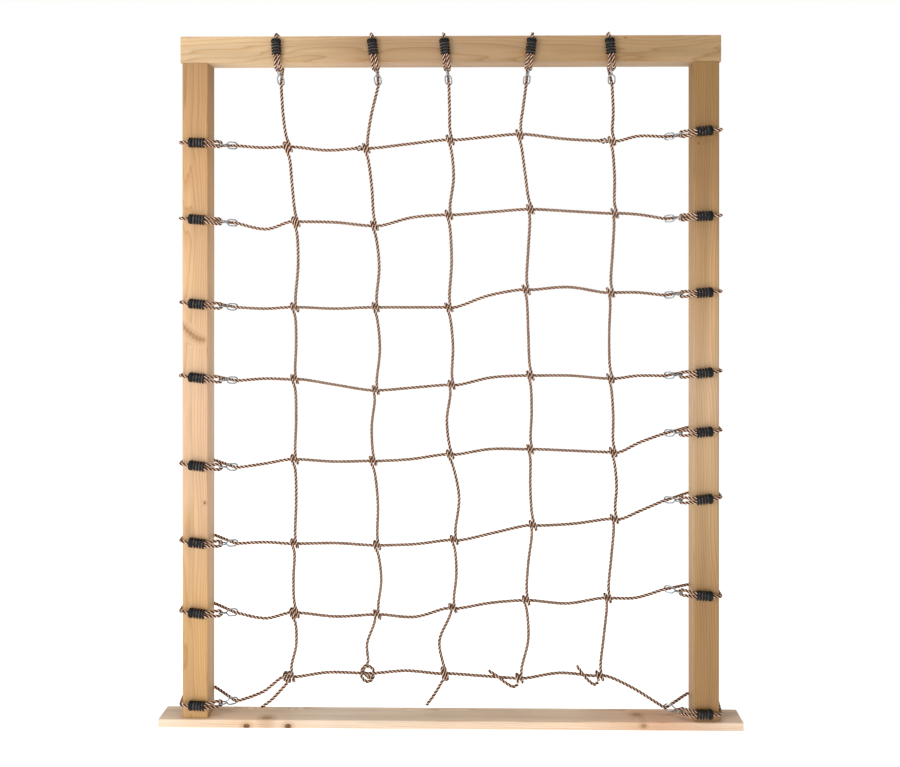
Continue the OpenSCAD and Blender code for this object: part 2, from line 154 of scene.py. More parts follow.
def noose(plan, fix):
    """The rope from the net to its cut end in the sleeve. Points are into the opening, to the back, and along
    the timber."""
    outer, inner, bend, way = eye_line(plan)
    start, far = -plan[1], -plan[0] + EDGE_R
    dome = start - SLEEVE_LEN
    peg, corner = ROPE_R + WIRE_R + LINK_PLAY, EDGE_R + ROPE_R + LAY_GAP
    front = EDGE_R - half_d - sleeve_y
    arcs = [(outer[0], outer[1], peg, peg, (270, 255, 240), 0),
            (-EDGE_R, half_d - EDGE_R, corner, corner, (60, 75, 90), 1),
            (far, half_d - EDGE_R, corner, corner, (90, 120, 150, 180), 1),
            (far, EDGE_R - half_d, corner, front, (180, 210, 240, 270), 0)]
    points = [(s + rs * math.cos(a), y + ry * math.sin(a), 0, behind)
              for s, y, rs, ry, angles, behind in arcs for a in np.radians(angles)]
    points += [(dome + END_WALL, sleeve_y, 0, 0), (dome + 2 * ROPE_D, sleeve_y, lane, 0)]
    points += [(start + EYE_LEAD, sleeve_y, lane, 0), (bend[0], bend[1], lane, 0)]
    for a in np.radians(range(90, -91, -30)):
        points.append((*(inner + peg * (math.cos(a) * way + np.array([0, 0, math.sin(a)]))), 0))
    points += [(bend[0], bend[1], -lane, 0)]
    points += [(start + x, sleeve_y, -lane, 0) for x in (EYE_LEAD, -SLEEVE_LEN / 2)]
    return [sloped(plan, fix, p) + np.array([0, 0, fix[2] * MM * p[3]]) for p in points]


def at_left(p, z):
    return np.array([p[0] - inner_x, p[1], p[2] + z])


def at_right(p, z):
    return np.array([inner_x - p[0], p[1], p[2] + z])


def at_beam(p, x):
    return np.array([p[2] + x, p[1], beam_z - p[0]])


def level_route(r):
    left = [at_left(p, row_z(r) + LEFT_FIX[r][0] * MM) for p in noose(POST_PLAN, LEFT_FIX[r])]
    right = [at_right(p, row_z(r) + RIGHT_FIX[r][0] * MM) for p in noose(POST_PLAN, RIGHT_FIX[r])]
    stops = [left[0]] + [knot(r, c) for c in range(COLUMNS)] + [right[0]]
    route = left[::-1]
    for c in range(COLUMNS + 1):
        route.append((stops[c] + stops[c + 1]) / 2 + np.array([0, 0, H_BOW[r][c] * MM]))
        if c < COLUMNS:
            route += [knot(r, c) + np.array([x, 0, 0]) for x in (-STRAIGHT_REACH, STRAIGHT_REACH)]
    return route + right


def turns(r, c):
    """The upright rope's turns about the level rope at a knot: down in front, round behind, down again."""
    k = knot(r, c)
    if (r, c) == (7, 1):
        return [k + np.array(p) * MM for p in OPEN_LOOP]
    if (r, c) in DOUBLE_KNOTS:
        spread = DOUBLE_KNOTS[(r, c)] * MM
        tall = STRETCH if (r, c) == STRETCHED_KNOT else 1.0

        def round_turn(a):
            along, angle = (a - TURN_START) / (TWO_TURNS_END - TURN_START), math.radians(a)
            radius = WRAP_R * (1 + TURN_BULGE * math.sin(math.pi * along))
            return np.array([spread * (1 - 2 * along) - TURN_SLANT * math.cos(angle),
                             -radius * math.sin(angle), radius * tall * math.cos(angle)])
        return [k + round_turn(a) for a in range(TURN_START, TWO_TURNS_END + 1, TURN_STEP)]
    hand = random.Random(10 * r + c)
    side, tall = hand.uniform(10.5, 13) * MM, hand.uniform(1.0, 1.12)

    def lean(a):
        if a < 180:
            return KNOT_FRONT + (side - KNOT_FRONT) * (a - TURN_START) / (180 - TURN_START)
        if a > 360:
            return -lean(TURN_START + ONE_TURN_END - a)
        return side * math.cos(math.radians(a - 180))

    def one_turn(a):
        angle = math.radians(a)
        return np.array([lean(a), -WRAP_R * math.sin(angle), WRAP_R * tall * math.cos(angle)])
    return [k + one_turn(a) for a in range(TURN_START, ONE_TURN_END + 1, TURN_STEP)]


def upright_route(c):
    fall = [at_beam(p, col_x(c) + BEAM_FIX[c][0] * MM) for p in noose(BEAM_PLAN, BEAM_FIX[c])]
    stops = [fall[0]] + [knot(r, c) for r in range(ROWS)]
    bends = [(stops[r] + stops[r + 1]) / 2 + np.array([V_BOW[c][r] * MM, 0, 0]) for r in range(ROWS)]
    route = fall[::-1]
    for r in range(ROWS):
        k = knot(r, c)
        route += [bends[r], k + KNOT_REACH * unit(bends[r] - k)]
        route += turns(r, c)
        if r < ROWS - 1:
            route.append(k + KNOT_REACH * unit(bends[r + 1] - k))
        elif c != 1:
            route.append(k + CUT_END)
    return route


def smooth_line(points, step):
    """A smooth line through the points, sampled at even steps (centripetal Catmull-Rom)."""
    p = np.array(points, float)
    p = np.vstack([2 * p[0] - p[1], p, 2 * p[-1] - p[-2]])
    knots = np.concatenate([[0], np.cumsum(np.sqrt(np.linalg.norm(np.diff(p, axis=0), axis=1)))])
    fine = []
    for i in range(1, len(p) - 2):
        count = max(2, int(np.linalg.norm(p[i + 1] - p[i]) / (step / 2)))
        t = np.linspace(knots[i], knots[i + 1], count, endpoint=False)[:, None]
        t0, t1, t2, t3 = knots[i - 1:i + 3]
        a1 = (t1 - t) / (t1 - t0) * p[i - 1] + (t - t0) / (t1 - t0) * p[i]
        a2 = (t2 - t) / (t2 - t1) * p[i] + (t - t1) / (t2 - t1) * p[i + 1]
        a3 = (t3 - t) / (t3 - t2) * p[i + 1] + (t - t2) / (t3 - t2) * p[i + 2]
        b1 = (t2 - t) / (t2 - t0) * a1 + (t - t0) / (t2 - t0) * a2
        b2 = (t3 - t) / (t3 - t1) * a2 + (t - t1) / (t3 - t1) * a3
        fine.append((t2 - t) / (t2 - t1) * b1 + (t - t1) / (t2 - t1) * b2)
    fine = np.vstack(fine + [p[-2:-1]])
    run = np.concatenate([[0], np.cumsum(np.linalg.norm(np.diff(fine, axis=0), axis=1))])
    even = np.linspace(0, run[-1], max(2, int(run[-1] / step)) + 1)
    return np.stack([np.interp(even, run, fine[:, k]) for k in range(3)], axis=1)


def frames_along(line):
    """The line's directions, and a side direction that is carried along it without twisting."""
    way = np.gradient(line, axis=0)
    way /= np.linalg.norm(way, axis=1)[:, None]
    first = np.array([0, 1, 0]) if abs(way[0][1]) < 0.9 else np.array([1, 0, 0])
    side = [unit(np.cross(way[0], first))]
    for w in way[1:]:
        side.append(unit(side[-1] - (side[-1] @ w) * w))
    return way, np.array(side)


def skin(name, tubes, sides, closed=False):
    """One mesh of round tubes. A tube is its ring centres, its outward direction, and its radii. The UV's
    U is a half in that direction, and its V is the length along the tube."""
    verts, faces, uvs = [], [], []
    base = 0
    phi = np.linspace(-math.pi, math.pi, sides, endpoint=False)
    for line, outward, radii in tubes:
        n = len(line)
        way = (np.roll(line, -1, axis=0) - np.roll(line, 1, axis=0)) if closed else np.gradient(line, axis=0)
        way /= np.linalg.norm(way, axis=1)[:, None]
        e1 = outward - (outward * way).sum(1)[:, None] * way
        e1 /= np.linalg.norm(e1, axis=1)[:, None]
        e2 = np.cross(way, e1)
        ring = np.cos(phi)[None, :, None] * e1[:, None, :] + np.sin(phi)[None, :, None] * e2[:, None, :]
        verts.append((line[:, None, :] + radii[:, None, None] * ring).reshape(-1, 3))
        i, k = np.meshgrid(np.arange(n if closed else n - 1), np.arange(sides), indexing="ij")
        i2, k2 = (i + 1) % n, (k + 1) % sides
        quad = np.stack([i * sides + k, i * sides + k2, i2 * sides + k2, i2 * sides + k], axis=-1)
        faces.append((base + quad).reshape(-1, 4))
        run = np.concatenate([[0], np.cumsum(np.linalg.norm(np.diff(line, axis=0), axis=1))])
        run = np.append(run, run[-1] * (1 + 1 / n))
        u, u2, v, v2 = k / sides, (k + 1) / sides, run[i], run[i + 1]
        uvs.append(np.stack([u, v, u2, v, u2, v2, u, v2], axis=-1).reshape(-1, 2))
        base += n * sides
    quads = np.vstack(faces)
    ends = [] if closed else [[start + last * sides + k for k in order] for start, last, order in
                              end_rings(tubes, sides)]
    mesh = bpy.data.meshes.new(name)
    mesh.from_pydata(np.vstack(verts).tolist(), [], quads.tolist() + ends)
    uv = mesh.uv_layers.new(name="lay")
    flat = np.zeros((len(mesh.loops), 2))
    flat[:len(quads) * 4] = np.vstack(uvs)
    flat[len(quads) * 4:, 0] = 0.5
    uv.data.foreach_set("uv", flat.ravel())
    mesh.polygons.foreach_set("use_smooth", [True] * len(quads) + [False] * len(ends))
    mesh.validate()
    made = bpy.data.objects.new(name, mesh)
    bpy.context.scene.collection.objects.link(made)
    return made


def end_rings(tubes, sides):
    """Where each tube's two end rings start in the mesh, and the order in which they close it."""
    start = 0
    for line, _, _ in tubes:
        yield start, 0, range(sides - 1, -1, -1)
        yield start, len(line) - 1, range(sides)
        start += len(line) * sides


# Three strands laid right-handed, one turn every 44 mm. Each strand presses into its neighbours.
LAY = 44 * MM
STRAND_R = 3.0 * MM
STRAND_SPREAD = ROPE_R - STRAND_R
STRAND_SIDES = 9


def laid_rope(name, line, opened=(), start_turn=0.0):
    """A three-strand rope along a line. opened lists places where the lay was forced apart."""
    way, side = frames_along(line)
    binormal = np.cross(way, side)
    run = np.concatenate([[0], np.cumsum(np.linalg.norm(np.diff(line, axis=0), axis=1))])
    spread = np.full(len(line), STRAND_SPREAD)
    for place, half, more in opened:
        near = np.clip(1 - np.linalg.norm(line - place, axis=1) / half, 0, 1)
        spread += more * near * near * (3 - 2 * near)
    tubes = []
    for strand in range(3):
        turn = 2 * math.pi * (run / LAY + strand / 3) + start_turn
        outward = np.cos(turn)[:, None] * side + np.sin(turn)[:, None] * binormal
        tubes.append((line + spread[:, None] * outward, outward, np.full(len(line), STRAND_R)))
    return skin(name, tubes, STRAND_SIDES)


def linear(hex_colour):
    """An sRGB hex colour as linear values."""
    parts = [int(hex_colour[i:i + 2], 16) / 255 for i in (1, 3, 5)]
    return tuple(v / 12.92 if v <= 0.04045 else ((v + 0.055) / 1.055) ** 2.4 for v in parts) + (1.0,)


def add(tree, kind, links=None, **settings):
    """Adds a node. links gives each input a value, or another node's output; settings are its own."""
    made = tree.nodes.new(kind)
    for key, value in settings.items():
        setattr(made, key, value)
    for key, value in (links or {}).items():
        if isinstance(value, bpy.types.NodeSocket):
            tree.links.new(value, made.inputs[key])
        else:
            made.inputs[key].default_value = value
    return made


def new_material(name, **shader):
    made = bpy.data.materials.new(name)
    made.use_nodes = True
    tree = made.node_tree
    surface = tree.nodes["Principled BSDF"]
    for key, value in shader.items():
        surface.inputs[key.replace("_", " ")].default_value = value
    return made, tree, surface


def ramp(tree, factor, stops):
    """A colour ramp from a factor, with its stops as (place, hex colour)."""
    made = add(tree, "ShaderNodeValToRGB", {"Fac": factor})
    while len(made.color_ramp.elements) < len(stops):
        made.color_ramp.elements.new(0.5)
    for element, (place, colour) in zip(made.color_ramp.elements, stops):
        element.position = place
        element.color = linear(colour)
    return made.outputs["Color"]


def laid_polypropylene():
    """Split-film polypropylene, spun and laid like hemp: pale crowns as a painted highlight, dark brown
    between the strands as painted shade, fine yarns at a slant across each strand, and a dull sheen."""
    made, tree, surface = new_material("laid_polypropylene", IOR=1.49, Roughness=0.62)
    uv = add(tree, "ShaderNodeUVMap", uv_map="lay").outputs["UV"]
    split = add(tree, "ShaderNodeSeparateXYZ", {"Vector": uv})
    away = add(tree, "ShaderNodeMath", {0: split.outputs["X"], 1: 0.5}, operation="SUBTRACT")
    away = add(tree, "ShaderNodeMath", {0: away.outputs[0]}, operation="ABSOLUTE")
    spot = add(tree, "ShaderNodeTexCoord").outputs["Object"]
    blotch = add(tree, "ShaderNodeTexNoise", {"Vector": spot, "Scale": 60.0, "Detail": 3.0})
    uneven = add(tree, "ShaderNodeMath", {0: blotch.outputs["Fac"], 1: 0.09, 2: -0.045},
                 operation="MULTIPLY_ADD")
    edge = add(tree, "ShaderNodeMath", {0: away.outputs[0], 1: uneven.outputs[0]}, operation="ADD")
    # Each strand's colour runs from a pale painted highlight on its crown to dark brown painted shade in the
    # grooves between strands
    body = ramp(tree, edge.outputs[0], [(0.0, "#FFECD8"), (0.052, "#F6CDA8"), (0.074, "#A5622C"),
                                        (0.094, "#552810"), (0.5, "#2E1508")])
    # Six yarns round a strand, and one every 3 mm along it
    yarns = add(tree, "ShaderNodeMapping", {"Vector": uv, "Scale": (6.0, 330.0, 1.0)})
    slant = add(tree, "ShaderNodeVectorMath", {0: yarns.outputs[0], 1: (1.0, 1.0, 0.0)},
                operation="DOT_PRODUCT")
    wave = add(tree, "ShaderNodeMath", {0: slant.outputs["Value"], 1: 2 * math.pi}, operation="MULTIPLY")
    wave = add(tree, "ShaderNodeMath", {0: wave.outputs[0]}, operation="SINE")
    fibre = add(tree, "ShaderNodeTexNoise", {"Vector": spot, "Scale": 900.0, "Detail": 2.0})
    height = add(tree, "ShaderNodeMath", {0: wave.outputs[0], 1: 0.6, 2: fibre.outputs["Fac"]},
                 operation="MULTIPLY_ADD")
    # The yarns' relief also darkens the colour in the hollows between them, as painted shade, with a little
    # random fibre tone
    shade = add(tree, "ShaderNodeMapRange", {"Value": height.outputs[0], "From Min": -0.4, "From Max": 1.4,
                                             "To Min": 0.88, "To Max": 1.1})
    crown_highlight_and_groove_shade = add(tree, "ShaderNodeVectorMath", {0: body, "Scale": shade.outputs[0]}, operation="SCALE")
    tree.links.new(crown_highlight_and_groove_shade.outputs[0], surface.inputs["Base Color"])
    bump = add(tree, "ShaderNodeBump", {"Height": height.outputs[0], "Strength": 0.5, "Distance": 0.0004})
    tree.links.new(bump.outputs[0], surface.inputs["Normal"])
    return made


rope_finish = laid_polypropylene()
ROPE_STEP = 2.6 * MM
# Left of two knots in the top row, the tying forced the level rope's lay apart
OPENED = {0: [(knot(0, 1) + np.array([-25 * MM, 0, 0]), 20 * MM, 6 * MM),
              (knot(0, 4) + np.array([-29 * MM, 0, 0]), 20 * MM, 6 * MM)]}


def finish_piece(piece, body, slot, material, *nodes):
    piece.data.materials.append(material)
    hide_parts(*nodes)
    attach(piece, body)
    return piece


for c in range(COLUMNS):
    line = smooth_line(upright_route(c), ROPE_STEP)
    finish_piece(laid_rope(f"upright_rope_{c + 1}", line, start_turn=1.3 * c), "frame_and_net", "rope_fibre",
                 rope_finish, f"rope_v{c + 1}")
for r in range(ROWS):
    line = smooth_line(level_route(r), ROPE_STEP)
    finish_piece(laid_rope(f"level_rope_{r + 1}", line, OPENED.get(r, ()), start_turn=0.9 * r),
                 "frame_and_net", "rope_fibre", rope_finish, f"rope_h{r + 1}")

# ---------------------------------------------------------------- loose tails
# The ends of four upright ropes stick out of their lowest knots, cut bare. Each is short and stiff, and
# bends where it leaves the knot. The routes are offsets from the knot in millimetres.
TAIL_ROUTES = {0: [(-30, -11, -45), (-62, -14, -78), (-100, -15, -107)],
               2: [(-24, -9, -50), (-45, -12, -82), (-67, -12, -111)],
               3: [(-22, -12, -27), (-50, -16, -12), (-85, -14, 14), (-115, -13, 32)],
               4: [(-20, -12, -27), (-48, -16, -6), (-86, -13, 42)]}
TAIL_ROOT = np.array([-6.6, -8.0, -20.1]) * MM
for c, way_points in TAIL_ROUTES.items():
    k = knot(ROWS - 1, c)
    route = [k + TAIL_ROOT] + [k + np.array(p) * MM for p in way_points]
    line = smooth_line(route, ROPE_STEP)
    tail = finish_piece(laid_rope(f"loose_tail_{c + 1}", line), f"tail_v{c + 1}", "rope_fibre", rope_finish,
                        f"tail_v{c + 1}")

# ---------------------------------------------------------------- ribbed sleeves
# Each is a moulded black plastic ferrule, 59 mm long: a flat-sided barrel with four raised ribs, and a
# domed cap where the single rope leaves. The eye's two strands enter its open end.
# The ribs' corner radius, how much taller than the CAD part's they are drawn so that they show, and the
# share of a groove's depth that its front and back have
RIB_ROUND, RIB_STAND, GROOVE_DEPTH = 0.9 * MM, 1.4, 0.5
SLEEVE_SIDES = 36
rib_gap = (SLEEVE_LEN - CAP_LEN - FINS * FIN_T) / FINS


def sleeve_profile():
    """Stations round the wall as (s, width, depth, groove mark): along the ribs, round the cap, up the bore.
    out holds (s, how far past the barrel in fin heights, groove mark). The groove mark is 1 where a groove
    gets a painted highlight."""
    out = [(0, -0.2, 0)]
    for rib in range(FINS):
        near, far = -rib * (FIN_T + rib_gap), -rib * (FIN_T + rib_gap) - FIN_T
        out += [(near, 0.15, 0), (near - 0.15 * RIB_ROUND, 0.75, 0), (near - RIB_ROUND, 1.0, 0),
                (far + RIB_ROUND, 1.0, 0), (far + 0.15 * RIB_ROUND, 0.75, 0), (far, 0.15, 0),
                (far - 0.3 * rib_gap, -0.3, 1), (far - 0.7 * rib_gap, -0.3, 1)]
    cap = -SLEEVE_LEN + CAP_LEN
    out += [(cap, 0.15, 0), (cap - 0.15 * RIB_ROUND, 0.75, 0), (cap - RIB_ROUND, 1.0, 0),
            (-SLEEVE_LEN + 7.5 * MM, 1.0, 0), (-SLEEVE_LEN + 4.8 * MM, 0.85, 0),
            (-SLEEVE_LEN + 2.6 * MM, 0.3, 0), (-SLEEVE_LEN + 0.9 * MM, -0.75, 0), (-SLEEVE_LEN, -1.3, 0)]
    wall = [(s, barrel_w + 2 * FIN_REACH * reach * RIB_STAND,
             barrel_d + 2 * FIN_REACH * reach * (1 if reach > 0 else GROOVE_DEPTH), highlight)
            for s, reach, highlight in out]
    hole = bore_d + 0.4 * MM
    return wall + [(-SLEEVE_LEN, hole, hole, 0), (END_WALL - SLEEVE_LEN, hole, hole, 0),
                   (END_WALL - SLEEVE_LEN, bore_w, bore_d, 0), (0, bore_w, bore_d, 0)]


def place_station(verts, turn, groove_highlight, station):
    s, width, depth, highlight = station
    for v in verts:
        a = v[turn]
        # The last value marks the vertex for the grooves' painted highlight
        v[groove_highlight] = highlight
        flat = (width - depth) / 2 * (1 if math.cos(a) > 0 else -1)
        v.co = (s, depth / 2 * math.sin(a), depth / 2 * math.cos(a) + flat)


def sleeve_mesh():
    bm = bmesh.new()
    turn = bm.verts.layers.float.new("turn")
    # A vertex layer marks where the grooves get a painted highlight
    groove_highlight = bm.verts.layers.float.new("groove_highlight")
    stations = sleeve_profile()
    ring = bmesh.ops.create_circle(bm, radius=1, segments=SLEEVE_SIDES)["verts"]
    for v in ring:
        v[turn] = math.atan2(v.co.y, v.co.x) + 0.0001
    place_station(ring, turn, groove_highlight, stations[0])
    edges = list(bm.edges)
    for station in stations[1:]:
        made = bmesh.ops.extrude_edge_only(bm, edges=edges)["geom"]
        place_station([g for g in made if isinstance(g, bmesh.types.BMVert)], turn, groove_highlight, station)
        edges = [g for g in made if isinstance(g, bmesh.types.BMEdge) and g.is_boundary]
    bmesh.ops.bridge_loops(bm, edges=[e for e in bm.edges if e.is_boundary])
    bmesh.ops.recalc_face_normals(bm, faces=bm.faces)
    mesh = bpy.data.meshes.new("sleeve")
    bm.to_mesh(mesh)
    bm.free()
    return mesh


def fastening_place(side, plan, fix, at):
    """The matrix that takes a fastening's own frame to the part's frame."""
    if side == "left":
        return Matrix.Translation((-inner_x, 0, at + fix[0] * MM))
    if side == "right":
        return Matrix.Translation((inner_x, 0, at + fix[0] * MM)) @ Matrix.Scale(-1, 4, (1, 0, 0))
    return Matrix.Translation((at + fix[0] * MM, 0, beam_z)) @ Matrix.Rotation(math.pi / 2, 4, "Y")


def joined(name, parts):
    """One object from a mesh that is repeated at several places."""
    bm = bmesh.new()
    for mesh, place in parts:
        copy = mesh.copy()
        copy.transform(place)
        if place.determinant() < 0:
            copy.flip_normals()
        bm.from_mesh(copy)
        bpy.data.meshes.remove(copy)
    mesh = bpy.data.meshes.new(name)
    bm.to_mesh(mesh)
    bm.free()
    made = bpy.data.objects.new(name, mesh)
    bpy.context.scene.collection.objects.link(made)
    return made


def shaded_smooth(piece, angle):
    """Smooth shading, with edges sharper than the angle kept crisp."""
    piece.data.polygons.foreach_set("use_smooth", [True] * len(piece.data.polygons))
    piece.data.set_sharp_from_angle(angle=math.radians(angle))


def moulded_polypropylene():
    """Black moulded polypropylene, satin, with a faint grain from the tool and a pale grey painted highlight
    in its grooves.
    """
    made, tree, surface = new_material("moulded_polypropylene", IOR=1.49)
    surface.inputs["Specular IOR Level"].default_value = 0.25
    spot = add(tree, "ShaderNodeTexCoord").outputs["Object"]
    grain = add(tree, "ShaderNodeTexNoise", {"Vector": spot, "Scale": 700.0, "Detail": 3.0})
    scuff_and_highlight_noise = add(tree, "ShaderNodeTexNoise", {"Vector": spot, "Scale": 90.0, "Detail": 4.0})
    dull = add(tree, "ShaderNodeMapRange", {"Value": scuff_and_highlight_noise.outputs["Fac"], "From Min": 0.35, "From Max": 0.7,
                                            "To Min": 0.34, "To Max": 0.55})
    tree.links.new(dull.outputs[0], surface.inputs["Roughness"])
    black = ramp(tree, scuff_and_highlight_noise.outputs["Fac"], [(0.45, "#040404"), (0.8, "#0F0F10")])
    # The grooves are painted pale grey, broken up by noise: a painted highlight in place of the ribs' glints
    groove_highlight = add(tree, "ShaderNodeAttribute", attribute_name="groove_highlight").outputs["Fac"]
    highlight = add(tree, "ShaderNodeMapRange", {"Value": scuff_and_highlight_noise.outputs["Fac"], "From Min": 0.38, "From Max": 0.6,
                                            "To Min": 0.1, "To Max": 0.9})
    highlight = add(tree, "ShaderNodeMath", {0: highlight.outputs[0], 1: groove_highlight}, operation="MULTIPLY").outputs[0]
    colour = add(tree, "ShaderNodeMix", {"Factor": highlight, 6: black, 7: linear("#625D59")}, data_type="RGBA")
    tree.links.new(colour.outputs[2], surface.inputs["Base Color"])
    bump = add(tree, "ShaderNodeBump", {"Height": grain.outputs["Fac"], "Strength": 0.25, "Distance": 0.0002})
    tree.links.new(bump.outputs[0], surface.inputs["Normal"])
    return made


sleeve_finish = moulded_polypropylene()
one_sleeve = sleeve_mesh()
FASTENINGS = {"beam": [(BEAM_PLAN, fix, col_x(c)) for c, fix in enumerate(BEAM_FIX)],
              "left": [(POST_PLAN, fix, row_z(r)) for r, fix in enumerate(LEFT_FIX)],
              "right": [(POST_PLAN, fix, row_z(r)) for r, fix in enumerate(RIGHT_FIX)]}
for side, fastenings in FASTENINGS.items():
    parts = []
    for plan, fix, at in fastenings:
        mouth = sloped(plan, fix, (-plan[1], sleeve_y, 0))
        local = Matrix.Translation(Vector(mouth)) @ Matrix.Rotation(math.atan(fix[1]), 4, "Y")
        parts.append((one_sleeve, fastening_place(side, plan, fix, at) @ local))
    sleeves = joined(f"ribbed_sleeves_{side}", parts)
    shaded_smooth(sleeves, 50)
    finish_piece(sleeves, "frame_and_net", "sleeve_plastic", sleeve_finish, f"sleeves_{side}")

# ---------------------------------------------------------------- steel links
# Each link is one ring of 5 mm wire, squeezed at its middle and twisted a quarter turn, welded and
# hot-dip galvanised. Its inner loop holds the eye, and its outer loop holds the net's rope.
# Half the gap between the wires at the neck and beside it, the neck's length, how much longer than round
# the outer loop is, and the step and sides of the wire's mesh
NECK_HALF, NECK_SIDE, NECK_LEN, LOOP_STRETCH = 2.7 * MM, 4.6 * MM, 7 * MM, 15 * MM
WIRE_STEP, WIRE_SIDES, SEAM_SEARCH = 1.2 * MM, 12, 60
LINK_ROLLS = {"beam": [10, -8, 12, -12, 6], "left": [8, -10, 8, 12, -6, 10, -12, 4],
              "right": [-8, 6, -12, 10, 0, 12, -6, 8]}


def link_line():
    """The wire's centreline, closed, from x = 0 at its outer end to x = -70 mm at its inner end."""
    reach = LINK_LEN - 2 * WIRE_R

    def ring(centre, first, last):
        return [(centre + LOOP_R * math.cos(a), LOOP_R * math.sin(a))
                for a in np.radians(range(first, last, 15))]
    neck = 2 * LOOP_R + LOOP_STRETCH
    half = ring(-LOOP_R, 0, 91) + [(-LOOP_R - LOOP_STRETCH / 2, LOOP_R)]
    half += ring(-LOOP_R - LOOP_STRETCH, 90, 136)
    half += [(-neck + 0.3 * MM, NECK_SIDE), (-neck - NECK_LEN / 2, NECK_HALF),
             (-neck - NECK_LEN - 0.3 * MM, NECK_SIDE)]
    half += ring(LOOP_R - reach, 45, 181)
    outline = half + [(x, -y) for x, y in half[-2:0:-1]]
    points = []
    for x, across in outline:
        ease = min(1, max(0, (x + neck + NECK_LEN + 2 * MM) / (NECK_LEN + 4 * MM)))
        a = math.pi / 2 * ease * ease * (3 - 2 * ease)
        points.append((x, across * math.cos(a), across * math.sin(a)))
    loop = smooth_line(points[-3:] + points + points[:4], WIRE_STEP)
    first = int(np.argmin(np.linalg.norm(loop[:SEAM_SEARCH] - points[0], axis=1)))
    last = len(loop) - SEAM_SEARCH + int(np.argmin(np.linalg.norm(loop[-SEAM_SEARCH:] - points[0], axis=1)))
    return loop[first:last]


def galvanised_wire():
    """Hot-dip zinc on steel wire: pale grey metal with a faint spangle, its cells a little different in tone
    and dullness.
    """
    made, tree, surface = new_material("galvanised_wire", Metallic=1.0)
    spot = add(tree, "ShaderNodeTexCoord").outputs["Object"]
    spangle = add(tree, "ShaderNodeTexVoronoi", {"Vector": spot, "Scale": 260.0})
    tone = add(tree, "ShaderNodeSeparateColor", {"Color": spangle.outputs["Color"]})
    tree.links.new(ramp(tree, tone.outputs["Red"], [(0.0, "#7F868B"), (1.0, "#B4BABE")]),
                   surface.inputs["Base Color"])
    dull = add(tree, "ShaderNodeMapRange", {"Value": tone.outputs["Green"], "To Min": 0.24, "To Max": 0.42})
    tree.links.new(dull.outputs[0], surface.inputs["Roughness"])
    return made


link_finish = galvanised_wire()
wire = link_line()
for side, fastenings in FASTENINGS.items():
    for i, (plan, fix, at) in enumerate(fastenings):
        outer, inner, _, _ = eye_line(plan)
        outer, inner = sloped(plan, fix, outer), sloped(plan, fix, inner)
        way = unit(outer - inner)
        turn = (Matrix.Rotation(math.atan2(way[1], way[0]), 4, "Z")
                @ Matrix.Rotation(-math.asin(way[2]), 4, "Y")
                @ Matrix.Rotation(math.radians(LINK_ROLLS[side][i]), 4, "X"))
        place = fastening_place(side, plan, fix, at) @ Matrix.Translation(Vector(outer)) @ turn
        line = np.array([place @ Vector(p) for p in wire])
        _, carried = frames_along(np.vstack([line, line[:1]]))
        node_name = f"link_{side[0]}{i + 1}"
        tube = (line, carried[:-1], np.full(len(line), WIRE_R))
        link = skin(f"steel_{node_name}", [tube], WIRE_SIDES, closed=True)
        finish_piece(link, node_name, "link_zinc", link_finish, node_name)

# ---------------------------------------------------------------- timbers
# Planed softwood: a 98 mm beam on two 94 mm posts, on a flat board. The faces show soft lengthwise
# growth rings, a few knots, and ring arcs where an end is cut.


# A growth ring's width in mm, and how far the grain sways and bends round a knot, in metres
RING_WIDTH, GRAIN_SWAY, KNOT_PUSH = 4.6, 0.05, 0.02


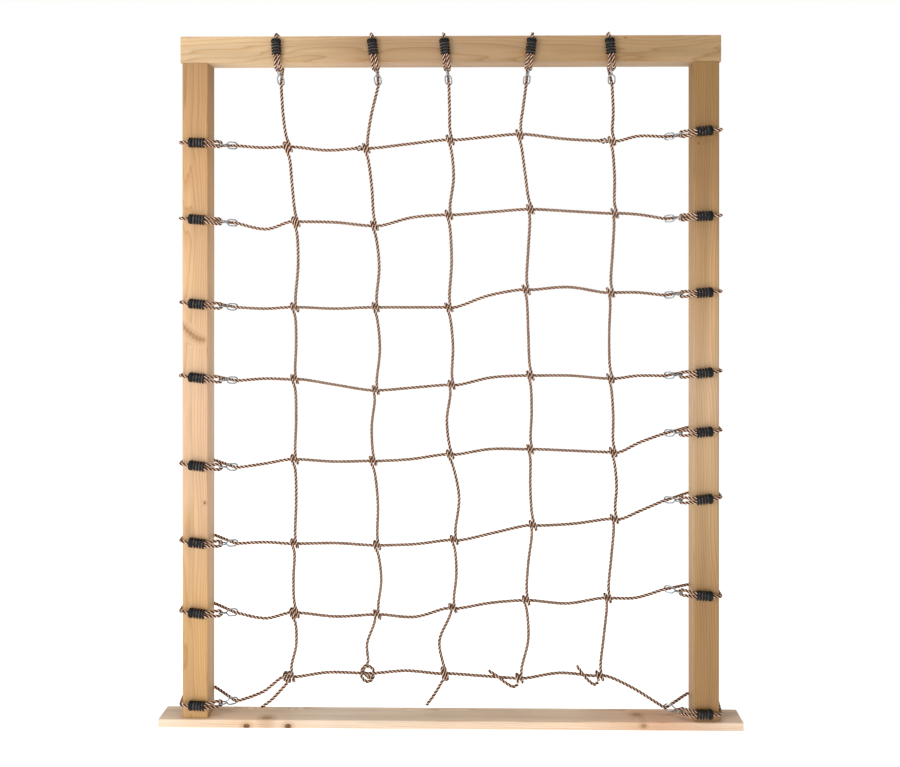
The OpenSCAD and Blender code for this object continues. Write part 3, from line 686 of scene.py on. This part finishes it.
def planed_softwood(name, along, pith, ends, tones, knots):
    """Planed pine: growth rings about a pith outside the section, fibre streaks, and knots with dark rims.
    along is the timber's axis, and tones the colours painted along it, evenly spaced between its ends (mm).
    knots are (centre in mm, radius in mm, the axis that the branch runs along, how dark the heart is)."""
    made, tree, surface = new_material(name, IOR=1.5, Roughness=0.58)
    spot = add(tree, "ShaderNodeTexCoord").outputs["Object"]
    keep = [0 if axis == along else 1 for axis in "XYZ"]

    def stretched(along_scale, across_scale):
        scale = [along_scale if axis == along else across_scale for axis in "XYZ"]
        return add(tree, "ShaderNodeMapping", {"Vector": spot, "Scale": scale})
    bend = stretched(1.1, 5)
    sway = add(tree, "ShaderNodeTexNoise", {"Vector": bend.outputs[0], "Scale": 1.0, "Detail": 2.0})
    sway = add(tree, "ShaderNodeVectorMath", {0: sway.outputs["Color"], 1: (0.5, 0.5, 0.5)},
               operation="SUBTRACT")
    sway = add(tree, "ShaderNodeVectorMath", {0: sway.outputs[0], "Scale": GRAIN_SWAY}, operation="SCALE")
    grain_spot = add(tree, "ShaderNodeVectorMath", {0: spot, 1: sway.outputs[0]}, operation="ADD").outputs[0]
    knot_mask = rim_mask = None
    for centre, radius, branch, depth in knots:
        stretch = [0.12 if axis == branch else (0.72 if axis == along else 1) for axis in "XYZ"]
        offset = add(tree, "ShaderNodeVectorMath", {0: spot, 1: [v * MM for v in centre]},
                     operation="SUBTRACT")
        offset = add(tree, "ShaderNodeVectorMath", {0: offset.outputs[0], 1: stretch}, operation="MULTIPLY")
        far = add(tree, "ShaderNodeVectorMath", {0: offset.outputs[0]}, operation="LENGTH").outputs["Value"]
        swell = add(tree, "ShaderNodeMapRange", {"Value": far, "From Min": 0.0, "From Max": radius * 4.5 * MM,
                                                 "To Min": 1.0, "To Max": 0.0},
                    interpolation_type="SMOOTHERSTEP")
        push = add(tree, "ShaderNodeVectorMath", {0: [v * KNOT_PUSH for v in keep],
                                                  "Scale": swell.outputs[0]}, operation="SCALE")
        grain_spot = add(tree, "ShaderNodeVectorMath", {0: grain_spot, 1: push.outputs[0]},
                         operation="ADD").outputs[0]
        heart = add(tree, "ShaderNodeMapRange", {"Value": far, "From Min": radius * 0.8 * MM,
                                                 "From Max": radius * 1.05 * MM, "To Min": depth,
                                                 "To Max": 0.0})
        halo = add(tree, "ShaderNodeMapRange", {"Value": far, "From Min": radius * 0.8 * MM,
                                                "From Max": radius * 2.6 * MM, "To Min": 1.0, "To Max": 0.0})
        if knot_mask is None:
            knot_mask, rim_mask = heart.outputs[0], halo.outputs[0]
        else:
            knot_mask = add(tree, "ShaderNodeMath", {0: knot_mask, 1: heart.outputs[0]},
                            operation="MAXIMUM").outputs[0]
            rim_mask = add(tree, "ShaderNodeMath", {0: rim_mask, 1: halo.outputs[0]},
                           operation="MAXIMUM").outputs[0]
    from_pith = add(tree, "ShaderNodeVectorMath", {0: grain_spot, 1: [v * MM for v in pith]},
                    operation="SUBTRACT")
    from_pith = add(tree, "ShaderNodeVectorMath", {0: from_pith.outputs[0], 1: keep}, operation="MULTIPLY")
    radius_out = add(tree, "ShaderNodeVectorMath", {0: from_pith.outputs[0]}, operation="LENGTH")
    rings = add(tree, "ShaderNodeMath", {0: radius_out.outputs["Value"], 1: 1 / (RING_WIDTH * MM)},
                operation="MULTIPLY").outputs[0]
    uneven = add(tree, "ShaderNodeTexNoise", {"Vector": from_pith.outputs[0], "Scale": 22.0, "Detail": 2.0})
    rings = add(tree, "ShaderNodeMath", {0: uneven.outputs["Fac"], 1: 2.2, 2: rings},
                operation="MULTIPLY_ADD")
    year = add(tree, "ShaderNodeMath", {0: rings.outputs[0]}, operation="FRACT").outputs[0]
    place = add(tree, "ShaderNodeSeparateXYZ", {"Vector": spot}).outputs[along]
    place = add(tree, "ShaderNodeMapRange", {"Value": place, "From Min": ends[0] * MM,
                                             "From Max": ends[1] * MM})
    wood = ramp(tree, place.outputs[0], [(i / (len(tones) - 1), tone) for i, tone in enumerate(tones)])
    late = ramp(tree, year, [(0.0, "#FFFFFF"), (0.45, "#FFFFFF"), (0.8, "#F6F1E8"), (0.93, "#E6DAC6"),
                             (1.0, "#FFFFFF")])
    wood = add(tree, "ShaderNodeVectorMath", {0: wood, 1: late}, operation="MULTIPLY").outputs[0]
    broad = add(tree, "ShaderNodeTexNoise", {"Vector": stretched(0.9, 26).outputs[0], "Scale": 1.0,
                                             "Detail": 3.0})
    tone = add(tree, "ShaderNodeMapRange", {"Value": broad.outputs["Fac"], "From Min": 0.3, "From Max": 0.7,
                                            "To Min": 0.86, "To Max": 1.12})
    fine = add(tree, "ShaderNodeTexNoise", {"Vector": stretched(9, 420).outputs[0], "Scale": 1.0,
                                            "Detail": 3.0})
    fibre = add(tree, "ShaderNodeMapRange", {"Value": fine.outputs["Fac"], "From Min": 0.3, "From Max": 0.7,
                                             "To Min": 0.93, "To Max": 1.05})
    tone = add(tree, "ShaderNodeMath", {0: tone.outputs[0], 1: fibre.outputs[0]}, operation="MULTIPLY")
    normal = add(tree, "ShaderNodeTexCoord").outputs["Normal"]
    facing = add(tree, "ShaderNodeVectorMath", {0: normal, 1: [1 - v for v in keep]},
                 operation="DOT_PRODUCT")
    cut = add(tree, "ShaderNodeMath", {0: facing.outputs["Value"]}, operation="ABSOLUTE")
    cut = add(tree, "ShaderNodeMapRange", {"Value": cut.outputs[0], "From Min": 0.7, "From Max": 0.9,
                                           "To Min": 1.0, "To Max": 0.8})
    tone = add(tree, "ShaderNodeMath", {0: tone.outputs[0], 1: cut.outputs[0]}, operation="MULTIPLY")
    wood = add(tree, "ShaderNodeVectorMath", {0: wood, "Scale": tone.outputs[0]},
               operation="SCALE").outputs[0]
    if knots:
        half_rim = add(tree, "ShaderNodeMath", {0: rim_mask, 1: 0.55}, operation="MULTIPLY").outputs[0]
        wood = add(tree, "ShaderNodeMix", {"Factor": half_rim, 6: wood, 7: linear("#A97B48")},
                   data_type="RGBA").outputs[2]
        speck = add(tree, "ShaderNodeTexNoise", {"Vector": spot, "Scale": 160.0, "Detail": 3.0})
        heart = ramp(tree, speck.outputs["Fac"], [(0.35, "#4A2C16"), (0.65, "#8A5730")])
        wood = add(tree, "ShaderNodeMix", {"Factor": knot_mask, 6: wood, 7: heart},
                   data_type="RGBA").outputs[2]
    tree.links.new(wood, surface.inputs["Base Color"])
    height = add(tree, "ShaderNodeMath", {0: year, 1: 0.35, 2: fine.outputs["Fac"]}, operation="MULTIPLY_ADD")
    bump = add(tree, "ShaderNodeBump", {"Height": height.outputs[0], "Strength": 0.3, "Distance": 0.0006})
    tree.links.new(bump.outputs[0], surface.inputs["Normal"])
    return made


def dress(node_name, material):
    """Gives a CAD node a finish in place of its plain one."""
    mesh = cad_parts[node_name].data
    mesh.materials.clear()
    mesh.materials.append(material)


# A branch that lay along the left post's face, cut lengthwise, shows as a curved brown streak
SPIKE_KNOT = [((x, -47, z), radius, "Y", 0.4) for x, z, radius in
              ((-982, 1474, 5), (-972, 1462, 6), (-962, 1451, 6.5), (-951, 1441, 7), (-940, 1432, 7.5),
               (-928, 1425, 7.5), (-916, 1420, 7), (-904, 1418, 6))]
# The beam's tones are lighter towards its left end, and each post's are lighter at middle height and darker
# at its ends. The right post's tones are darker than the left's: partly its own darker wood, and partly
# painted shade, as the key light stands at the left.
dress("beam", planed_softwood("planed_beam", "X", (0, 190, 2440), (-990, 990),
                              ["#CBAC85", "#CAA980", "#AE8C66", "#A98865", "#A3835D", "#A5855E", "#A88961"],
                              [((640, -47, 2520), 4, "Y", 0.5)]))
dress("post_left", planed_softwood("planed_left_post", "Z", (-1010, 150, 0), (30, 2430),
                                   ["#BF945F", "#CBA06B", "#D2AC86", "#D7B28F", "#D3AB7E", "#C09463",
                                    "#A37C4F"],
                                   SPIKE_KNOT + [((-899, -47, 820), 4, "Y", 0.8)]))
dress("post_right", planed_softwood("planed_right_post", "Z", (1040, 140, 0), (30, 2430),
                                    ["#A37B4A", "#A67E4D", "#BE9B70", "#CBA984", "#BF986B", "#9C774B",
                                     "#94703F"],
                                    [((906, -47, 2135), 5, "Y", 0.7), ((985, 20, 1200), 8, "X", 0.8)]))
dress("base_board", planed_softwood("planed_board", "X", (0, 60, -90), (-1070, 1070),
                                    ["#F0DAC4", "#EBCBAB", "#F2DDC6", "#EFD6BC", "#E9CFB4", "#EED3B8",
                                     "#E2B795", "#EFD6BE"],
                                    [((-743, -57, 7), 9, "Y", 1.0), ((-591, -57, 8), 9, "Y", 1.0),
                                     ((-672, -40, 30), 13, "Z", 0.3),
                                     ((705, -57, 17), 7, "Y", 0.4), ((690, 5, 30), 12, "Z", 0.3)]))

# ---------------------------------------------------------------- screws
# Two zinc-plated structural screws hold each end of a post: down through the beam, and up through the
# board. Their heads are sunk into the timber.


def zinc_plate():
    """Bright zinc plate on steel, a little uneven in its shine."""
    made, tree, surface = new_material("zinc_plate", Metallic=1.0, Base_Color=linear("#C9CCCB"))
    spot = add(tree, "ShaderNodeTexCoord").outputs["Object"]
    cloud = add(tree, "ShaderNodeTexNoise", {"Vector": spot, "Scale": 140.0, "Detail": 3.0})
    dull = add(tree, "ShaderNodeMapRange", {"Value": cloud.outputs["Fac"], "To Min": 0.2, "To Max": 0.45})
    tree.links.new(dull.outputs[0], surface.inputs["Roughness"])
    return made


screw_finish = zinc_plate()
for node_name in ("beam_screws", "base_screws"):
    dress(node_name, screw_finish)

# ---------------------------------------------------------------- floor and light
# A plain white floor that glows a little, a soft light from the front left, a weak fill from the front
# right, a broad light overhead, and an even white surround. Lamps are (name, place, target, size, watts).
FLOOR_GLOW, SURROUND_LIGHT = 0.75, 0.36
floor_mesh = bpy.data.meshes.new("floor")
bm = bmesh.new()
bmesh.ops.create_circle(bm, cap_ends=True, radius=60, segments=64)
bm.to_mesh(floor_mesh)
bm.free()
floor = bpy.data.objects.new("floor", floor_mesh)
bpy.context.scene.collection.objects.link(floor)
floor_finish, _, floor_surface = new_material("matt_white_floor", Base_Color=linear("#F4F4F4"), Roughness=0.9)
floor_surface.inputs["Emission Color"].default_value = (1, 1, 1, 1)
floor_surface.inputs["Emission Strength"].default_value = FLOOR_GLOW
floor_mesh.materials.append(floor_finish)

world = bpy.data.worlds.new("surround")
world.use_nodes = True
sky = world.node_tree
seen = add(sky, "ShaderNodeLightPath").outputs["Is Camera Ray"]
strength = add(sky, "ShaderNodeMapRange", {"Value": seen, "To Min": SURROUND_LIGHT, "To Max": 1.0})
sky.nodes["Background"].inputs["Color"].default_value = (1, 1, 1, 1)
sky.links.new(strength.outputs[0], sky.nodes["Background"].inputs["Strength"])
bpy.context.scene.world = world
for name, place, target, size, power in (("key", (-3.4, -3.4, 2.1), (-0.2, 0, 1.3), 1.4, 96),
                                         ("fill", (3.5, -4.5, 1.6), (0, 0, 1.2), 3.0, 10),
                                         ("overhead", (0, -0.5, 4.8), (0, 0, 0), 3.0, 62)):
    lamp_data = bpy.data.lights.new(name, "AREA")
    lamp_data.size = size
    lamp_data.energy = power
    lamp = bpy.data.objects.new(name, lamp_data)
    lamp.location = place
    lamp.rotation_euler = (Vector(target) - Vector(place)).to_track_quat("-Z", "Y").to_euler()
    bpy.context.scene.collection.objects.link(lamp)
bpy.context.scene.view_settings.view_transform = "Standard"
